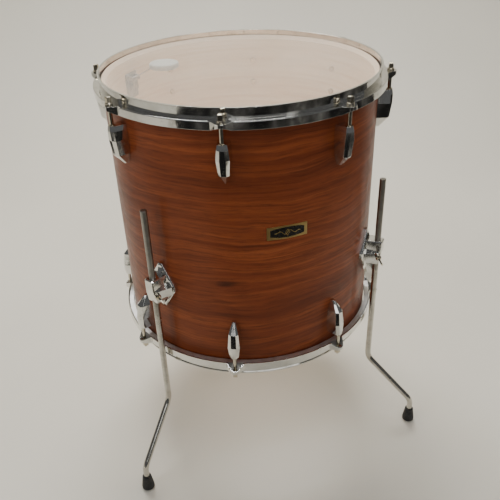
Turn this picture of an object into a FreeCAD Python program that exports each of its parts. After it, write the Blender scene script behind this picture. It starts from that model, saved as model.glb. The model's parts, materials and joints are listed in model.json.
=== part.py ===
"""Floor tom: a wood-shell drum, 16 by 16 inches, that stands on three sliding legs.

Row frame, in millimetres: +Z is up, the floor is z = 0 and the badge faces -Y. The origin is
on the floor under the middle of the whole object's box, so the drum's own axis stands a
little in front of it. Every size is a cell of the sheet Size. Each sub-part is a body with
its own placement, and most bodies have their origin on the drum's axis, with local +X
pointing out from the axis at the sub-part's own angle.
"""
import FreeCAD, Part
from math import cos, pi, radians, sin, tan
import os
import Sketcher
from FreeCAD import Vector

DIMENSIONS = (
    # The drum in its frame.
    ("overrun", 1.0, "how far a cut runs past what it cuts"),
    ("axis_y", -50.0, "drum axis, in front of the middle of the box"),
    ("overall_height", 628.0, "floor to the top hoop's lip"),
    ("mid_height", 417.2, "floor to the middle of the shell"),
    # Shell.
    ("shell_radius", 203.0, "outside of the shell, 16 inches across"),
    ("shell_wall", 7.0, "thickness of the plies"),
    ("shell_depth", 406.0, "16 inches from edge to edge"),
    ("edge_inset", 1.5, "the bearing edge's peak, in from the outside"),
    # Hoops.
    ("hoop_gauge", 1.6, "sheet thickness of the hoop"),
    ("hoop_inner", 204.8, "inside radius of the hoop's wall"),
    ("hoop_outer", 215.5, "outside radius of the hoop's skirt"),
    ("hoop_lip_roll", 1.4, "how far the lip rolls outward"),
    ("hoop_bevel", 1.0, "bevel between the ledge and the skirt"),
    ("hoop_wall_height", 14.5, "ledge to lip"),
    ("hoop_skirt", 11.4, "ledge to the skirt's lower edge"),
    ("hoop_ledge", 196.3, "middle of the shell to the ledge's outer face"),
    ("ear_half_width", 15.0, "half the ear's width where it leaves the skirt"),
    ("ear_round", 8.7, "radius of the ear's outer end about the rod"),
    ("ear_rise", 4.0, "skirt left at the ear's outer end"),
    ("ear_flank", 2.1, "ear's flank, measured along the skirt"),
    ("ear_hole_radius", 3.4, "hole for the tension rod"),
    # Heads and their rings.
    ("film", 0.3, "thickness of the head's film"),
    ("collar_inner", 203.4, "inside radius of the film's collar"),
    ("ring_inner", 205.2, "inside radius of the head's ring"),
    ("ring_outer", 212.5, "outside radius of the head's ring"),
    ("ring_top", 8.3, "ring's top, below the bearing edge"),
    ("ring_bottom", 17.2, "ring's floor, below the bearing edge"),
    ("ring_wall", 1.6, "inner wall and floor of the ring's channel"),
    ("ring_outer_wall", 2.1, "outer wall of the ring's channel"),
    ("ring_inner_top", 11.2, "top of the channel's inner wall, below the bearing edge"),
    ("bead_top", 10.2, "top of the film's cast bead, below the bearing edge"),
    # Tension rods, washers and swivel nuts.
    ("lug_count", 8, "lugs round each end"),
    ("lug_angle", 22.5, "first lug, from +X"),
    ("lug_step", 45.0, "angle from lug to lug"),
    ("rod_circle", 219.3, "tension rods, from the drum axis"),
    ("rod_radius", 2.75, "tension rod's shank"),
    ("rod_length", 50.0, "shank below the hoop's ledge"),
    ("rod_point", 0.6, "bevel at the shank's end"),
    ("rod_flange_radius", 5.0, "round flange under the key head"),
    ("rod_flange", 2.0, "thickness of the flange"),
    ("rod_flange_bevel", 0.5, "bevel round the flange"),
    ("key_size", 6.4, "square key head, across flats"),
    ("key_height", 8.0, "height of the key head"),
    ("key_bevel", 1.1, "bevel round the top of the key head"),
    ("washer_radius", 5.3, "washer under the flange"),
    ("washer_hole", 3.1, "hole in the washer"),
    ("washer", 1.2, "thickness of the washer"),
    ("washer_gap", 0.1, "free play over the washer"),
    # Lugs.
    ("lug_end", 168.8, "middle of the shell to the lug's rod end"),
    ("lug_length", 57.0, "rod end to far end"),
    ("nut_bore", 4.0, "bore for the swivel nut"),
    ("nut_bore_depth", 28.0, "depth of that bore"),
    ("nut_radius", 3.9, "swivel nut's barrel"),
    ("nut_length", 12.0, "swivel nut's barrel"),
    ("nut_collar_radius", 4.6, "swivel nut's collar on the lug's end"),
    ("nut_collar", 1.2, "thickness of the collar"),
    ("nut_thread", 2.8, "nut's threaded hole"),
    ("spring_wire", 0.4, "radius of the spring's wire"),
    ("spring_radius", 3.4, "radius of the spring's coil"),
    ("spring_pitch", 2.5, "coil to coil"),
    ("spring_length", 13.0, "height of the coils"),
    ("spring_gap", 0.3, "nut to the first coil"),
    ("lug_screw_near", 8.5, "rod end to the nearer lug screw"),
    ("lug_screw_far", 46.5, "rod end to the farther lug screw"),
    # Screws through the shell.
    ("screw_radius", 2.0, "screw's shank"),
    ("screw_hole", 2.3, "hole through the shell"),
    ("screw_thread", 2.0, "tapped hole in a casting"),
    ("screw_depth", 6.0, "thread past the shell's outside"),
    ("screw_tap_depth", 6.5, "tapped hole past the shell's outside"),
    ("screw_head_radius", 4.3, "washer-faced head inside the shell"),
    ("screw_head", 2.8, "height of that head"),
    ("screw_seat", 195.9, "where the heads bear, from the drum axis"),
    ("bracket_screw_seat", 195.4, "the same, for screws beside a bracket's middle"),
    # Badge.
    ("badge_height", 448.2, "floor to the badge's middle"),
    ("badge_width", 58.0, "width of the badge"),
    ("badge_side", 19.2, "height of the badge at its ends"),
    ("badge_middle", 20.0, "height of the badge at its middle"),
    ("badge_plate", 0.9, "thickness of the badge"),
    ("badge_blank", 4.0, "flat blank, in and out from the shell's outside"),
    # Leg brackets.
    ("bracket_height", 346.5, "floor to the bracket's middle"),
    ("bracket_angle_left", -144.2, "left front bracket, from +X"),
    ("bracket_angle_right", -40.0, "right front bracket"),
    ("bracket_angle_back", 90.0, "back bracket"),
    ("plate_half_width", 25.0, "bracket's base plate"),
    ("plate_half_height", 37.5, "bracket's base plate"),
    ("plate_side_height", 4.0, "half height of the plate's blunt side corners"),
    ("plate_tip_width", 3.0, "half width of the plate's blunt ends"),
    ("plate_blank", 4.0, "plate's blank, in from the shell's outside"),
    ("plate_rim", 3.2, "plate's rim past the shell"),
    ("plate_bevel", 1.5, "bevel round the plate's rim"),
    ("plate_border", 1.6, "flat border inside the bevel"),
    ("plate_crown", 8.0, "top of the plate's facets past the shell"),
    ("crown_half_width", 6.0, "top of the plate's facets"),
    ("crown_half_height", 22.0, "top of the plate's facets"),
    ("crown_side_height", 2.0, "top of the plate's facets"),
    ("block_face", 233.0, "bracket block's outer face, from the drum axis"),
    ("block_half_width", 8.5, "block at its outer face"),
    ("block_root_half_width", 12.5, "block at the shell"),
    ("block_corner", 1.5, "outer face's upright corners, cut at 45 degrees"),
    ("block_top", 21.5, "block's top above the bracket's middle"),
    ("block_height", 40.0, "bracket block"),
    ("block_bevel", 1.3, "bevel round the block's top"),
    ("block_taper", 5.0, "how far the block's lower end slopes in"),
    ("block_taper_top", 4.0, "where that slope starts, above the bracket's middle"),
    ("clamp_lean", 24.0, "wing bolt turned outward from square to the bracket"),
    ("boss_drop", 3.5, "wing bolt below the bracket's middle"),
    ("boss_half_height", 6.5, "wing bolt's boss"),
    ("boss_reach", 12.3, "boss's face, from the leg's axis"),
    ("boss_outer", 230.0, "boss's outer end, from the drum axis"),
    ("bracket_screw_side", 9.0, "bracket screws, to each side"),
    ("bracket_screw_rise", 20.0, "bracket screws, up and down"),
    ("bracket_screw_depth", 4.0, "their thread past the shell's outside"),
    ("bracket_tap_depth", 4.2, "their tapped holes past the shell's outside"),
    # Wing bolts.
    ("wing_shank", 3.0, "wing bolt's shank"),
    ("wing_bore", 3.05, "hole for the wing bolt"),
    ("wing_tip", 5.1, "wing bolt's tip, from the leg's axis"),
    ("wing_point", 0.6, "bevel at the tip"),
    ("wing_neck_radius", 4.6, "wing bolt's neck"),
    ("wing_neck", 12.8, "start of the neck, from the leg's axis"),
    ("wing_root", 16.2, "end of the neck"),
    ("wing_dome", 1.6, "height of the neck's domed end"),
    ("wing_foot", 0.6, "start of the wings past the neck's start"),
    ("wing_span", 13.0, "wing's tip, from the bolt's axis"),
    ("wing_top", 23.0, "far edge of the wings, from the leg's axis"),
    ("wing_gauge", 2.6, "thickness of the wings"),
    ("wing_turn", 60.0, "wings turned from level"),
    # Legs and feet.
    ("leg_circle", 224.0, "leg rods, from the drum axis"),
    ("leg_radius", 4.75, "leg rod, 3/8 inch"),
    ("leg_bore", 4.8, "bracket's bore for the leg"),
    ("leg_top_left", 479.0, "floor to the top of the left leg"),
    ("leg_top_right", 472.0, "floor to the top of the right leg"),
    ("leg_top_back", 476.0, "floor to the top of the back leg"),
    ("leg_top_bevel", 0.7, "bevel round the top of a leg"),
    ("leg_knee", 139.4, "floor to the end of the straight rod"),
    ("leg_slant", 45.0, "slope of the lower rod, from upright"),
    ("leg_reach", 82.0, "foot's axis, from the leg's axis"),
    ("leg_bend", 24.0, "radius of the bends"),
    ("leg_end", 6.0, "floor to the leg's lower end"),
    ("leg_swing_left", 9.0, "left leg turned from straight out"),
    ("leg_swing_right", 3.0, "right leg turned from straight out"),
    ("leg_swing_back", 0.0, "back leg turned from straight out"),
    ("foot_height", 27.0, "rubber foot"),
    ("foot_radius", 10.0, "rubber foot at its widest"),
    ("foot_neck", 7.1, "rubber foot at its top"),
    ("foot_shoulder", 7.9, "rubber foot below its top"),
    ("foot_shoulder_height", 21.0, "floor to that shoulder"),
    ("foot_band_low", 3.0, "floor to the foot's widest band"),
    ("foot_band_high", 7.0, "floor to the band's top"),
    ("foot_sole", 7.5, "flat of the foot's sole"),
    # Muffler.
    ("muffler_height", 575.0, "floor to the muffler's knob"),
    ("muffler_angle", 140.0, "muffler, from +X"),
    ("muffler_stem", 2.5, "knob's stem"),
    ("muffler_bush", 2.55, "base's hole for the stem"),
    ("muffler_shell_hole", 3.2, "shell's hole for the stem"),
    ("muffler_plate_face", 193.0, "inner face of the base plate, from the drum axis"),
    ("muffler_plate_back", 195.0, "back of the base plate"),
    ("muffler_plate_half_width", 15.0, "base plate"),
    ("muffler_plate_half_height", 20.0, "base plate"),
    ("muffler_pivot_circle", 187.0, "arm's pivot, from the drum axis"),
    ("muffler_pivot_rise", 12.0, "arm's pivot above the knob"),
    ("muffler_pin", 1.5, "arm's pin"),
    ("muffler_pin_hole", 1.55, "hole for that pin"),
    ("muffler_ear_inner", 8.5, "inside of the base's ears"),
    ("muffler_ear_outer", 10.5, "outside of the base's ears"),
    ("muffler_ear_root", 5.0, "half the height of an ear at the plate"),
    ("muffler_ear_tip", 3.0, "half the height of an ear at its tip"),
    ("muffler_arm_half_width", 7.0, "sprung arm"),
    ("muffler_arm_gauge", 1.4, "sprung arm"),
    ("muffler_arm_tail", 6.0, "arm's tail below the knob's middle"),
    ("muffler_arm_inner", 118.5, "arm's end under the pad, from the drum axis"),
    ("muffler_arm_outer", 150.7, "start of the arm's flat end, from the drum axis"),
    ("muffler_knuckle", 3.0, "radius of the arm's knuckle"),
    ("muffler_pad_circle", 130.0, "pad's middle, from the drum axis"),
    ("muffler_pad_radius", 23.0, "felt pad"),
    ("muffler_pad_top", 42.0, "pad's top above the knob"),
    ("muffler_pad", 9.0, "thickness of the pad"),
    ("muffler_knob_radius", 9.5, "knob"),
    ("muffler_knob_face", 219.0, "knob's outer face, from the drum axis"),
    ("muffler_knob_back", 207.0, "knob's inner face"),
    ("muffler_stem_tip", 188.5, "stem's inner end"),
    ("muffler_knob_bevel", 1.2, "bevel round the knob's outer face"),
)

# Lug casing: distance below its rod end, then the half width and the height above the shell
# of each corner of its six-sided section, as (drop, base half width, shoulder half width,
# shoulder height, ridge half width, ridge height).
LUG_SECTIONS = (
    (0.0, 8.3, 6.2, 17.5, 2.4, 21.0),
    (7.0, 9.2, 7.6, 18.5, 3.1, 22.3),
    (20.0, 10.0, 9.0, 18.5, 4.1, 22.0),
    (42.0, 8.8, 7.2, 15.5, 3.6, 19.0),
    (57.0, 3.2, 2.0, 4.0, 0.7, 6.0),
)

# One wing of a wing bolt, from its foot on the neck out and back: shares of the wing's span,
# and of the way from the neck's end to the wing's far edge.
WING_FOOT = 0.2
WING_OUTLINE = ((0.72, 0.0), (1.0, 0.41), (0.9, 0.88), (0.62, 1.0), (0.3, 0.47))

doc = FreeCAD.newDocument("FloorTom")
sheet = doc.addObject("Spreadsheet::Sheet", "Size")
for row, (alias, amount, meaning) in enumerate(DIMENSIONS, start=1):
    sheet.set("A%d" % row, meaning)
    sheet.set("B%d" % row, str(amount))
    sheet.setAlias("B%d" % row, alias)
doc.recompute()

AROUND = 360.0


# Helpers: every length is a sheet expression, so that the model follows its cells.

def value(item, expression):
    """Present amount of a sheet expression."""
    return float(item.evalExpression(expression))


def new_body(name):
    """Sub-part of its own; its label names its file."""
    body = doc.addObject("PartDesign::Body", name)
    body.Label = name
    return body


def place(body, angle="0", height="Size.mid_height", radius="0", turn=""):
    """Stand a body at an angle round the drum, turned by an optional extra rotation."""
    where = ("vector((%s) * cos(%s); Size.axis_y + (%s) * sin(%s); %s)"
             % (radius, angle, radius, angle, height))
    facing = "rotation(vector(0; 0; 1); %s)" % angle
    body.setExpression("Placement", "placement(%s; %s%s)" % (where, facing, turn))


FLIPPED = " * rotation(vector(1; 0; 0); 180)"


def origin_feature(body, role):
    """One of the body's own origin planes or axes."""
    for feature in body.Origin.OriginFeatures:
        if feature.Role == role:
            return feature
    raise ValueError(role)


def new_sketch(body, name, plane, shift="0", angle=None, across="0"):
    """Sketch on an origin plane, moved along its normal, and turned about its upright axis."""
    sketch = body.newObject("Sketcher::SketchObject", name)
    sketch.AttachmentSupport = [(origin_feature(body, plane), "")]
    sketch.MapMode = "FlatFace"
    if angle is None:
        sketch.setExpression("AttachmentOffset.Base.z", shift)
        sketch.setExpression("AttachmentOffset.Base.x", across)
    else:
        turned = "rotation(vector(0; 1; 0); %s)" % angle
        lifted = ("vector(%s + (%s) * sin(%s); 0; (%s) * cos(%s))"
                  % (across, shift, angle, shift, angle))
        sketch.setExpression("AttachmentOffset", "placement(%s; %s)" % (lifted, turned))
    return sketch


def hold(sketch, edge, vertex, across, up):
    """Fix one point of a sketch at two sheet expressions."""
    for kind, axis, expression in (("DistanceX", -2, across), ("DistanceY", -1, up)):
        amount = value(sketch, expression)
        if abs(amount) < 1e-9:
            sketch.addConstraint(Sketcher.Constraint("PointOnObject", edge, vertex, axis))
        else:
            rule = Sketcher.Constraint(kind, -1, 1, edge, vertex, amount)
            index = sketch.addConstraint(rule)
            sketch.setExpression("Constraints[%d]" % index, expression)


def join(sketch, edge, other):
    """End of one edge meets the start of another."""
    sketch.addConstraint(Sketcher.Constraint("Coincident", edge, 2, other, 1))


def draw_outline(sketch, corners):
    """Closed outline of straight edges through (across, up) corners."""
    points = [Vector(value(sketch, across), value(sketch, up), 0) for across, up in corners]
    first = sketch.GeometryCount
    edges = [sketch.addGeometry(Part.LineSegment(start, end), False)
             for start, end in zip(points, points[1:] + points[:1])]
    for edge, (across, up) in zip(edges, corners):
        join(sketch, edge, first + (edge - first + 1) % len(edges))
        hold(sketch, edge, 1, across, up)


def draw_circle(sketch, across, up, radius):
    """Circle with its centre at (across, up)."""
    centre = Vector(value(sketch, across), value(sketch, up), 0)
    size = value(sketch, radius)
    edge = sketch.addGeometry(Part.Circle(centre, Vector(0, 0, 1), size), False)
    hold(sketch, edge, 3, across, up)
    index = sketch.addConstraint(Sketcher.Constraint("Radius", edge, size))
    sketch.setExpression("Constraints[%d]" % index, radius)


def pad(body, sketch, length, backward=False, centred=False):
    """Extrude a sketch along its normal, against it, or to both sides."""
    feature = body.newObject("PartDesign::Pad", sketch.Name + "Pad")
    feature.Profile = sketch
    feature.Reversed = backward
    feature.Midplane = centred
    feature.setExpression("Length", length)
    doc.recompute()
    return feature


def cut(body, sketch, length, forward=False, centred=False):
    """Pocket against the sketch's normal, along it, or to both sides; it must remove something."""
    before = body.Shape.Volume
    feature = body.newObject("PartDesign::Pocket", sketch.Name + "Pocket")
    feature.Profile = sketch
    feature.Reversed = forward
    feature.Midplane = centred
    feature.setExpression("Length", length)
    doc.recompute()
    if body.Shape.Volume > before - 0.01:
        raise RuntimeError(body.Label + ": " + feature.Name + " removes nothing")
    return feature


def revolve(body, sketch):
    """Turn a profile once round its sketch's upright axis."""
    feature = body.newObject("PartDesign::Revolution", sketch.Name + "Turn")
    feature.Profile = sketch
    feature.ReferenceAxis = (sketch, ["V_Axis"])
    feature.Angle = AROUND
    doc.recompute()
    return feature


def loft(body, first, *rest):
    """Straight-sided loft through sketches."""
    feature = body.newObject("PartDesign::AdditiveLoft", first.Name + "Loft")
    feature.Profile = first
    feature.Sections = list(rest)
    feature.Ruled = True
    doc.recompute()
    return feature


def around(body, features):
    """Repeat features once for each lug."""
    pattern = body.newObject("PartDesign::PolarPattern", body.Name + "Pattern")
    pattern.Originals = features
    pattern.Axis = (origin_feature(body, "Z_Axis"), [""])
    pattern.Angle = AROUND
    pattern.setExpression("Occurrences", "Size.lug_count")
    body.Tip = pattern
    doc.recompute()


def bevel_top(body, feature, size):
    """Chamfer the edges that lie in a feature's highest plane."""
    edges = feature.Shape.Edges
    top = feature.Shape.BoundBox.ZMax
    rim = ["Edge%d" % number for number, edge in enumerate(edges, start=1)
           if all(abs(vertex.Z - top) < 1e-5 for vertex in edge.Vertexes)]
    chamfer = body.newObject("PartDesign::Chamfer", body.Name + "_bevel")
    chamfer.Base = (feature, rim)
    chamfer.setExpression("Size", size)
    doc.recompute()


def turned_part(name, corners):
    """Body made by turning one profile of (radius, height) corners."""
    body = new_body(name)
    sketch = new_sketch(body, name + "_profile", "XZ_Plane")
    draw_outline(sketch, corners)
    revolve(body, sketch)
    return body


BRACKET_SIDES = ("left", "right", "back")
WING_ON_PLUS_SIDE = {"left": True, "right": False, "back": True}


def bracket_screw_places():
    """The four screws of one bracket, as (across, up) from its middle."""
    for across in ("-Size.bracket_screw_side", "Size.bracket_screw_side"):
        for up in ("-Size.bracket_screw_rise", "Size.bracket_screw_rise"):
            yield across, up


def lug_screw_heights():
    """The four lug screws in one upright line, from the middle of the shell."""
    for drop in ("Size.lug_screw_near", "Size.lug_screw_far"):
        yield "Size.lug_end - " + drop
        yield drop + " - Size.lug_end"


# Shell, hoops and heads.

def make_shell():
    """Ply shell with a 45 degree bearing edge at each end and its screw holes."""
    bevel = "(Size.shell_wall - Size.edge_inset)"
    inner = "Size.shell_radius - Size.shell_wall"
    half = "Size.shell_depth / 2"
    body = turned_part("shell", (
        (inner, "-%s + %s" % (half, bevel)),
        ("Size.shell_radius - Size.edge_inset", "-" + half),
        ("Size.shell_radius", "-%s + Size.edge_inset" % half),
        ("Size.shell_radius", "%s - Size.edge_inset" % half),
        ("Size.shell_radius - Size.edge_inset", half),
        (inner, "%s - %s" % (half, bevel)),
    ))
    place(body)
    for index in range(int(value(sheet, "Size.lug_count"))):
        angle = "(Size.lug_angle + %d * Size.lug_step)" % index
        sketch = new_sketch(body, "lug_holes_%d" % index, "YZ_Plane", angle=angle)
        for height in lug_screw_heights():
            draw_circle(sketch, "0", height, "Size.screw_hole")
        cut(body, sketch, "Size.shell_radius + Size.overrun", forward=True)
    for side in BRACKET_SIDES:
        sketch = new_sketch(body, "bracket_holes_" + side, "YZ_Plane",
                            angle="Size.bracket_angle_" + side)
        for across, up in bracket_screw_places():
            height = up + " + Size.bracket_height - Size.mid_height"
            draw_circle(sketch, across, height, "Size.screw_hole")
        cut(body, sketch, "Size.shell_radius + Size.overrun", forward=True)
    sketch = new_sketch(body, "muffler_hole", "YZ_Plane", angle="Size.muffler_angle")
    height = "Size.muffler_height - Size.mid_height"
    draw_circle(sketch, "0", height, "Size.muffler_shell_hole")
    cut(body, sketch, "Size.shell_radius + Size.overrun", forward=True)


def draw_ear(sketch, base, half_width, round_radius):
    """Plan of an ear: an arc about the rod with two straight flanks down to its base.

    The tangent points start at 60 degrees from the ear's middle, and the constraints move them.
    """
    centre = value(sketch, "Size.rod_circle")
    radius = value(sketch, round_radius)
    foot = Vector(value(sketch, base), value(sketch, half_width), 0)
    tip = Vector(centre + radius * sin(pi / 6), radius * cos(pi / 6), 0)
    mirrored = [Vector(point.x, -point.y, 0) for point in (foot, tip)]
    circle = Part.Circle(Vector(centre, 0, 0), Vector(0, 0, 1), radius)
    start = circle.parameter(mirrored[1])
    end = circle.parameter(tip)
    arc = sketch.addGeometry(Part.ArcOfCircle(circle, start - 2 * pi, end), False)
    upper = sketch.addGeometry(Part.LineSegment(tip, foot), False)
    back = sketch.addGeometry(Part.LineSegment(foot, mirrored[0]), False)
    lower = sketch.addGeometry(Part.LineSegment(mirrored[0], mirrored[1]), False)
    hold(sketch, arc, 3, "Size.rod_circle", "0")
    index = sketch.addConstraint(Sketcher.Constraint("Radius", arc, radius))
    sketch.setExpression("Constraints[%d]" % index, round_radius)
    sketch.addConstraint(Sketcher.Constraint("Tangent", arc, 2, upper, 1))
    join(sketch, upper, back)
    join(sketch, back, lower)
    sketch.addConstraint(Sketcher.Constraint("Tangent", lower, 2, arc, 1))
    hold(sketch, back, 1, base, half_width)
    hold(sketch, back, 2, base, "-(%s)" % half_width)


def make_hoop(name, height, turn):
    """Triple-flanged hoop: rolled lip, wall, ledge and skirt, with an ear for each rod."""
    wall = "Size.hoop_inner + Size.hoop_gauge"
    lip = wall + " + Size.hoop_lip_roll"
    skirt = "Size.hoop_outer - Size.hoop_gauge"
    edge = "Size.hoop_bevel"
    body = turned_part(name, (
        ("Size.hoop_inner", "-Size.hoop_gauge"),
        (skirt, "-Size.hoop_gauge"),
        (skirt, "-Size.hoop_skirt"),
        ("Size.hoop_outer", "-Size.hoop_skirt"),
        ("Size.hoop_outer", "-" + edge),
        ("Size.hoop_outer - " + edge, "0"),
        (wall, "0"),
        (wall, "Size.hoop_wall_height - Size.hoop_gauge"),
        (lip, "Size.hoop_wall_height - Size.hoop_gauge"),
        (lip, "Size.hoop_wall_height"),
        ("Size.hoop_inner", "Size.hoop_wall_height"),
    ))
    place(body, "Size.lug_angle", height, turn=turn)

    plan = new_sketch(body, name + "_ear", "XY_Plane")
    draw_ear(plan, skirt, "Size.ear_half_width", "Size.ear_round")
    block = pad(body, plan, "Size.hoop_skirt", backward=True)

    hollow = new_sketch(body, name + "_ear_hollow", "XY_Plane", "-Size.hoop_gauge")
    draw_ear(hollow, skirt + " - Size.hoop_gauge / 2", "Size.ear_half_width - Size.ear_flank",
             "Size.ear_round - Size.hoop_gauge")
    inside = cut(body, hollow, "Size.hoop_skirt")

    tip = "Size.rod_circle + Size.ear_round + Size.overrun"
    slope = new_sketch(body, name + "_ear_slope", "XZ_Plane")
    below = "-Size.hoop_skirt - Size.overrun"
    draw_outline(slope, (("Size.hoop_outer - Size.overrun", below),
                         (tip, below), (tip, "-Size.ear_rise")))
    rise = cut(body, slope, "4 * Size.ear_half_width", centred=True)

    hole = new_sketch(body, name + "_ear_hole", "XY_Plane")
    draw_circle(hole, "Size.rod_circle", "0", "Size.ear_hole_radius")
    drilled = cut(body, hole, "Size.hoop_gauge + Size.overrun")
    around(body, [block, inside, rise, drilled])


def make_head(name, height, turn):
    """Clear film over the bearing edge, with a collar and a bead cast into its ring."""
    rim = "Size.shell_radius - Size.edge_inset"
    outside = "Size.collar_inner + Size.film"
    bead_in = "Size.ring_inner + Size.ring_wall"
    bead_out = "Size.ring_outer - Size.ring_outer_wall"
    bead_floor = "-(Size.ring_bottom - Size.ring_wall)"
    body = turned_part(name, (
        ("0", "0"),
        (rim, "0"),
        ("Size.collar_inner", "-Size.edge_inset"),
        ("Size.collar_inner", "-Size.ring_inner_top"),
        (bead_in, "-Size.ring_inner_top"),
        (bead_in, bead_floor),
        (bead_out, bead_floor),
        (bead_out, "-Size.bead_top"),
        (outside, "-Size.bead_top"),
        (outside, "Size.film - Size.edge_inset"),
        (rim, "Size.film"),
        ("0", "Size.film"),
    ))
    place(body, "0", height, turn=turn)


def make_head_ring(name, height, turn):
    """Aluminium channel that holds the film's bead and takes the hoop's ledge."""
    bead_in = "Size.ring_inner + Size.ring_wall"
    bead_out = "Size.ring_outer - Size.ring_outer_wall"
    bead_floor = "-(Size.ring_bottom - Size.ring_wall)"
    body = turned_part(name, (
        ("Size.ring_inner", "-Size.ring_bottom"),
        ("Size.ring_outer", "-Size.ring_bottom"),
        ("Size.ring_outer", "-Size.ring_top"),
        (bead_out, "-Size.ring_top"),
        (bead_out, bead_floor),
        (bead_in, bead_floor),
        (bead_in, "-Size.ring_inner_top"),
        ("Size.ring_inner", "-Size.ring_inner_top"),
    ))
    place(body, "0", height, turn=turn)


# Tension rods, lugs and what is in them.

def make_tension_rod(name, angle, height, turn):
    """Key rod: shank, round flange and bevelled square head, at the rod's own axis."""
    flange_foot = "Size.washer + Size.washer_gap"
    flange_top = flange_foot + " + Size.rod_flange"
    body = turned_part(name, (
        ("0", "-Size.rod_length"),
        ("Size.rod_radius - Size.rod_point", "-Size.rod_length"),
        ("Size.rod_radius", "Size.rod_point - Size.rod_length"),
        ("Size.rod_radius", flange_foot),
        ("Size.rod_flange_radius", flange_foot),
        ("Size.rod_flange_radius", flange_top + " - Size.rod_flange_bevel"),
        ("Size.rod_flange_radius - Size.rod_flange_bevel", flange_top),
        ("0", flange_top),
    ))
    place(body, angle, height, "Size.rod_circle", turn)
    square = new_sketch(body, name + "_key", "XY_Plane", flange_top)
    half = "Size.key_size / 2"
    corners = (("-" + half, "-" + half), (half, "-" + half), (half, half), ("-" + half, half))
    draw_outline(square, corners)
    head = pad(body, square, "Size.key_height")
    bevel_top(body, head, "Size.key_bevel")


def make_washers():
    """One washer under each rod's flange, as sixteen separate solids in one node."""
    body = new_body("tension_washers")
    place(body, "Size.lug_angle")
    rings = []
    for side, sign in (("top", ""), ("bottom", "-")):
        sketch = new_sketch(body, "washer_" + side, "XY_Plane", sign + "Size.hoop_ledge")
        draw_circle(sketch, "Size.rod_circle", "0", "Size.washer_radius")
        draw_circle(sketch, "Size.rod_circle", "0", "Size.washer_hole")
        rings.append(pad(body, sketch, "Size.washer", backward=side == "bottom"))
    around(body, rings)


def make_lug(name, angle, height, turn):
    """Faceted lug casing with a bore for its swivel nut and two tapped holes."""
    body = new_body(name)
    place(body, angle, height, turn=turn)
    sections = []
    for index, (drop, base, shoulder, rise, ridge, top) in enumerate(LUG_SECTIONS):
        sketch = new_sketch(body, "%s_section_%d" % (name, index), "XY_Plane", str(-drop))
        draw_outline(sketch, (
            ("Size.shell_radius - Size.overrun", str(-base)),
            ("Size.shell_radius + %s" % rise, str(-shoulder)),
            ("Size.shell_radius + %s" % top, str(-ridge)),
            ("Size.shell_radius + %s" % top, str(ridge)),
            ("Size.shell_radius + %s" % rise, str(shoulder)),
            ("Size.shell_radius - Size.overrun", str(base)),
        ))
        sections.append(sketch)
    loft(body, *sections)

    seat = new_sketch(body, name + "_seat", "XY_Plane", "Size.overrun")
    draw_circle(seat, "0", "0", "Size.shell_radius")
    cut(body, seat, "Size.lug_length + 2 * Size.overrun")

    bore = new_sketch(body, name + "_bore", "XY_Plane")
    draw_circle(bore, "Size.rod_circle", "0", "Size.nut_bore")
    cut(body, bore, "Size.nut_bore_depth")

    tapped = new_sketch(body, name + "_tapped", "YZ_Plane")
    for drop in ("Size.lug_screw_near", "Size.lug_screw_far"):
        draw_circle(tapped, "0", "-" + drop, "Size.screw_thread")
    cut(body, tapped, "Size.shell_radius + Size.screw_tap_depth", forward=True)


def make_swivel_nuts():
    """Swivel nut in each lug: a barrel in the bore and a collar on the lug's end."""
    body = new_body("swivel_nuts")
    place(body, "Size.lug_angle")
    pieces = []
    for side, sign, down in (("top", "", True), ("bottom", "-", False)):
        for part, radius, length, inward in (
                ("barrel", "Size.nut_radius", "Size.nut_length", down),
                ("collar", "Size.nut_collar_radius", "Size.nut_collar", not down)):
            sketch = new_sketch(body, "nut_%s_%s" % (part, side), "XY_Plane",
                                sign + "Size.lug_end")
            draw_circle(sketch, "Size.rod_circle", "0", radius)
            draw_circle(sketch, "Size.rod_circle", "0", "Size.nut_thread")
            pieces.append(pad(body, sketch, length, backward=inward))
    around(body, pieces)


def make_lug_springs():
    """Coil spring behind each swivel nut, which stops it rattling."""
    body = new_body("lug_springs")
    place(body, "Size.lug_angle")
    coils = []
    start = "(Size.lug_end - Size.nut_length - Size.spring_wire - Size.spring_gap)"
    for side, height in (("top", "%s - Size.spring_length" % start), ("bottom", "-" + start)):
        sketch = new_sketch(body, "spring_" + side, "XZ_Plane", across="Size.rod_circle")
        draw_circle(sketch, "Size.spring_radius", height, "Size.spring_wire")
        coil = body.newObject("PartDesign::AdditiveHelix", "coil_" + side)
        coil.Profile = sketch
        coil.ReferenceAxis = (sketch, ["V_Axis"])
        coil.Mode = 0
        coil.setExpression("Pitch", "Size.spring_pitch")
        coil.setExpression("Height", "Size.spring_length")
        doc.recompute()
        coils.append(coil)
    around(body, coils)


def draw_screws(body, name, places, angle, seat, radius, length, inward):
    """Pad a row of round stems from the screws' seat, outward or inward."""
    sketch = new_sketch(body, name, "YZ_Plane", seat, angle=angle)
    for across, up in places:
        draw_circle(sketch, across, up, radius)
    return pad(body, sketch, length, backward=inward)


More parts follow.
